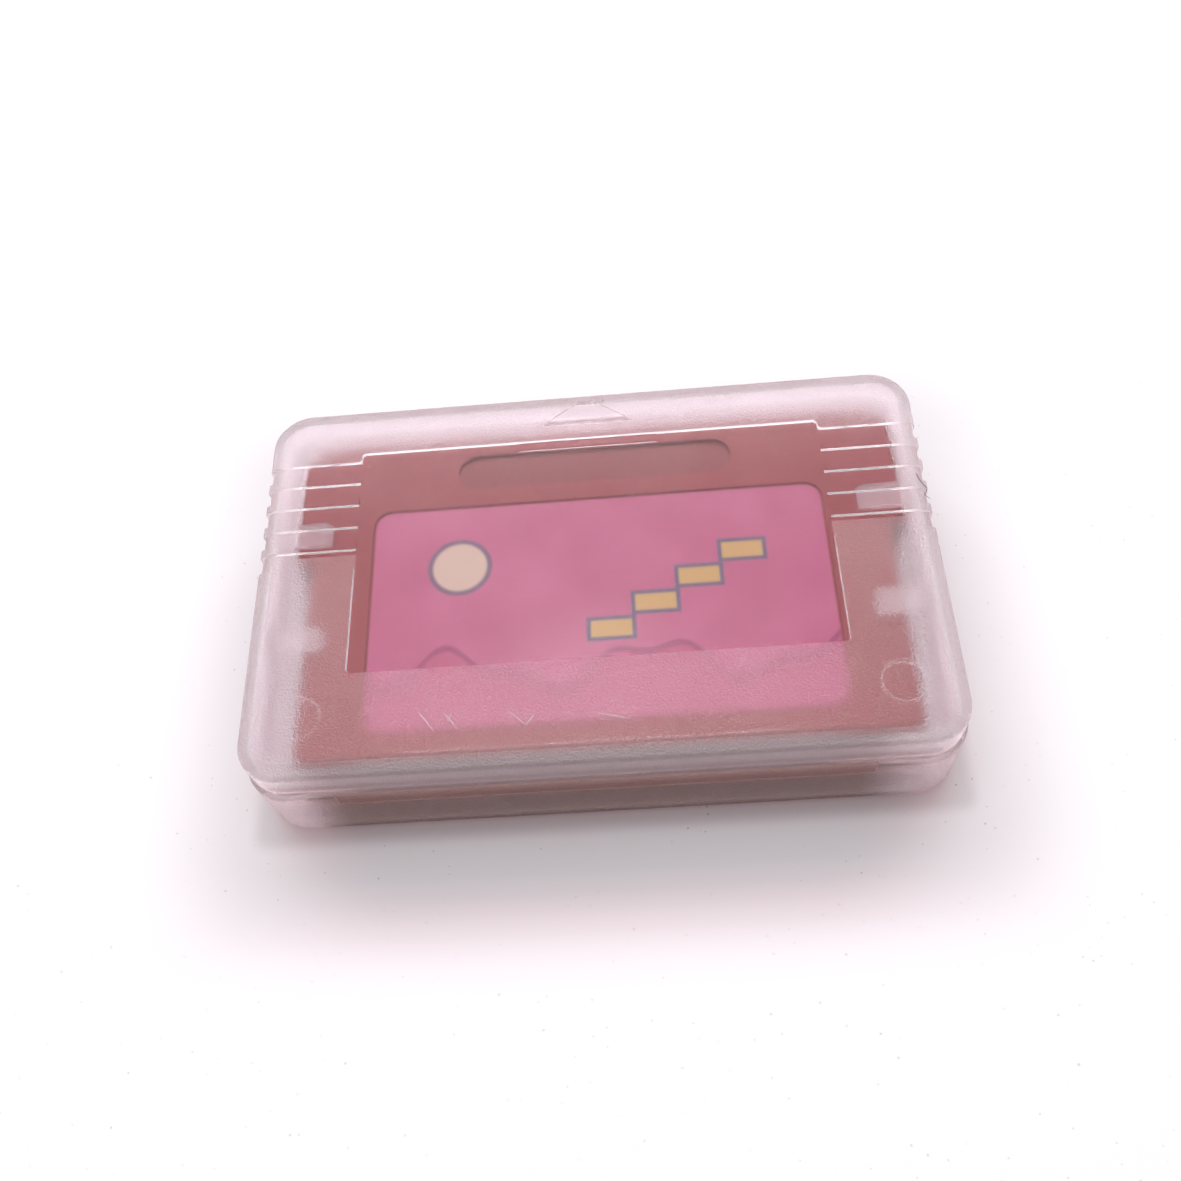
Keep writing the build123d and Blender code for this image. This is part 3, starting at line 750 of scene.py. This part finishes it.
def floor_glow(finish, x, y):
    """A glow that only seen rays meet, rising with the distance from the foot of the case."""
    rays = finish.node("ShaderNodeLightPath")
    seen = finish.math("MAXIMUM", rays.outputs["Is Camera Ray"], rays.outputs["Is Glossy Ray"])
    seen = finish.math("MAXIMUM", seen, rays.outputs["Is Transmission Ray"])
    across = finish.math("SUBTRACT", finish.math("ABSOLUTE", x), foot_half_width)
    along = finish.math("SUBTRACT", finish.math("ABSOLUTE", y), foot_half_depth)
    away = finish.apart(finish.math("MAXIMUM", across, 0.0), finish.math("MAXIMUM", along, 0.0))
    past_foot = finish.spread(finish.smooth(away, 0.5, 2.4), 0.0, 0.13)
    past_shadow = finish.spread(finish.smooth(away, 2.5, 14.0), 0.0, 0.17)
    glow = finish.node("ShaderNodeEmission")
    glow.inputs["Color"].default_value = (1.0, 0.94, 0.99, 1)
    strength = finish.math("ADD", past_foot, past_shadow)
    finish.feed(glow.inputs["Strength"], finish.math("MULTIPLY", seen, strength))
    return glow.outputs[0]


def white_floor(side=2.0):
    finish = Finish("white_sheet")
    vector, x, y, z = finish.place()
    clouds = finish.noise(vector, 0.02, detail=2.0)
    specks = finish.smooth(finish.noise(vector, 2.6, detail=0.0), 0.81, 0.85)
    sheet = finish.colour(clouds, (0.915, 0.865, 0.90), (0.93, 0.885, 0.92))
    finish.set(base_color=finish.colour(specks, sheet, (0.62, 0.56, 0.60)), roughness=0.9)
    lifted = finish.node("ShaderNodeAddShader")
    finish.feed(lifted.inputs[0], finish.shader.outputs[0])
    finish.feed(lifted.inputs[1], floor_glow(finish, x, y))
    finish.feed(finish.output.inputs["Surface"], lifted.outputs[0])

    mesh = bpy.data.meshes.new("floor")
    half = side / 2
    corners = [(-half, -half, 0), (half, -half, 0), (half, half, 0), (-half, half, 0)]
    mesh.from_pydata(corners, [], [(0, 1, 2, 3)])
    floor = add_piece("floor", mesh, finish.material)
    return floor


white_floor()


# %% Set the lamps
def softbox(name, place, aim, sides, watts):
    """A rectangular lamp at a place, turned towards an aim, in metres and watts."""
    lamp = bpy.data.lights.new(name, "AREA")
    lamp.shape = "RECTANGLE"
    lamp.size, lamp.size_y = sides
    lamp.energy = watts
    holder = bpy.data.objects.new(name, lamp)
    holder.location = place
    holder.rotation_mode = "QUATERNION"
    holder.rotation_quaternion = (Vector(aim) - Vector(place)).to_track_quat("-Z", "Y")
    bpy.context.scene.collection.objects.link(holder)
    return holder


softbox("back_sky", (0.0, 0.74, 0.69), (0, 0, 0), (1.6, 0.2), 8.4)
softbox("top_softbox", (-0.05, 0.05, 0.80), (0, 0, 0), (0.5, 0.5), 2.2)


# %% Fill the room with light
room_level = 0.14
wall_top = math.sin(math.radians(30))
ceiling_from = math.sin(math.radians(44))


def white_room(level):
    """An even dim light. Seen directly or in the plastic, the walls up to wall_top are white."""
    world = bpy.data.worlds.new("white_room")
    bpy.context.scene.world = world
    world.use_nodes = True
    tree = world.node_tree
    tree.nodes.clear()
    output = tree.nodes.new("ShaderNodeOutputWorld")
    light = tree.nodes.new("ShaderNodeBackground")
    light.inputs["Color"].default_value = (1, 1, 1, 1)
    tree.links.new(light.outputs[0], output.inputs[0])

    direction = tree.nodes.new("ShaderNodeSeparateXYZ")
    tree.links.new(tree.nodes.new("ShaderNodeTexCoord").outputs["Generated"], direction.inputs[0])
    walls = tree.nodes.new("ShaderNodeMapRange")
    walls.interpolation_type = "SMOOTHSTEP"
    walls.inputs["From Min"].default_value = wall_top
    walls.inputs["From Max"].default_value = ceiling_from
    walls.inputs["To Min"].default_value = 1.0
    walls.inputs["To Max"].default_value = level
    tree.links.new(direction.outputs[2], walls.inputs["Value"])

    rays = tree.nodes.new("ShaderNodeLightPath")
    seen = rays.outputs["Is Camera Ray"]
    for kind in ("Is Glossy Ray", "Is Transmission Ray"):
        either = tree.nodes.new("ShaderNodeMath")
        either.operation = "MAXIMUM"
        tree.links.new(seen, either.inputs[0])
        tree.links.new(rays.outputs[kind], either.inputs[1])
        seen = either.outputs[0]
    strength = tree.nodes.new("ShaderNodeMix")
    strength.inputs["A"].default_value = level
    tree.links.new(seen, strength.inputs["Factor"])
    tree.links.new(walls.outputs["Result"], strength.inputs["B"])
    tree.links.new(strength.outputs[0], light.inputs["Strength"])


white_room(room_level)
view = bpy.context.scene.view_settings
view.view_transform = "Standard"
print("white sheet, two softboxes and a white room")

# %% [markdown]
# ## Camera
#
# The photograph was taken from about sixty degrees above the table with a phone held a little
# askew. Yaw, elevation, roll and distance were fitted to the corners of the lid, whose width is
# known, so the render can be laid over the photograph.

# %% Place the camera
photo_side_px = 1181
focal_px = 1185
sensor_mm = 36.0
camera_yaw = math.radians(6.43)
camera_elevation = math.radians(59.87)
camera_roll = math.radians(-9.47)
camera_place = Vector((5.81, -56.62, 105.0)) * MM


def photo_camera():
    back = Vector((
        math.sin(camera_yaw) * math.cos(camera_elevation),
        -math.cos(camera_yaw) * math.cos(camera_elevation),
        math.sin(camera_elevation),
    ))
    right = Vector((math.cos(camera_yaw), math.sin(camera_yaw), 0))
    up = back.cross(right)
    turned_right = math.cos(camera_roll) * right + math.sin(camera_roll) * up
    turned_up = math.cos(camera_roll) * up - math.sin(camera_roll) * right
    data = bpy.data.cameras.new("photo_camera")
    data.sensor_width = sensor_mm
    data.lens = sensor_mm * focal_px / photo_side_px
    data.clip_start = 0.005
    camera = bpy.data.objects.new("photo_camera", data)
    axes = Matrix((turned_right, turned_up, back)).transposed().to_4x4()
    camera.matrix_world = Matrix.Translation(camera_place) @ axes
    bpy.context.scene.collection.objects.link(camera)
    bpy.context.scene.camera = camera
    return camera


camera = photo_camera()
print("camera at, in mm:", [round(value / MM, 1) for value in camera.location])
print("lens in mm:", round(camera.data.lens, 2))
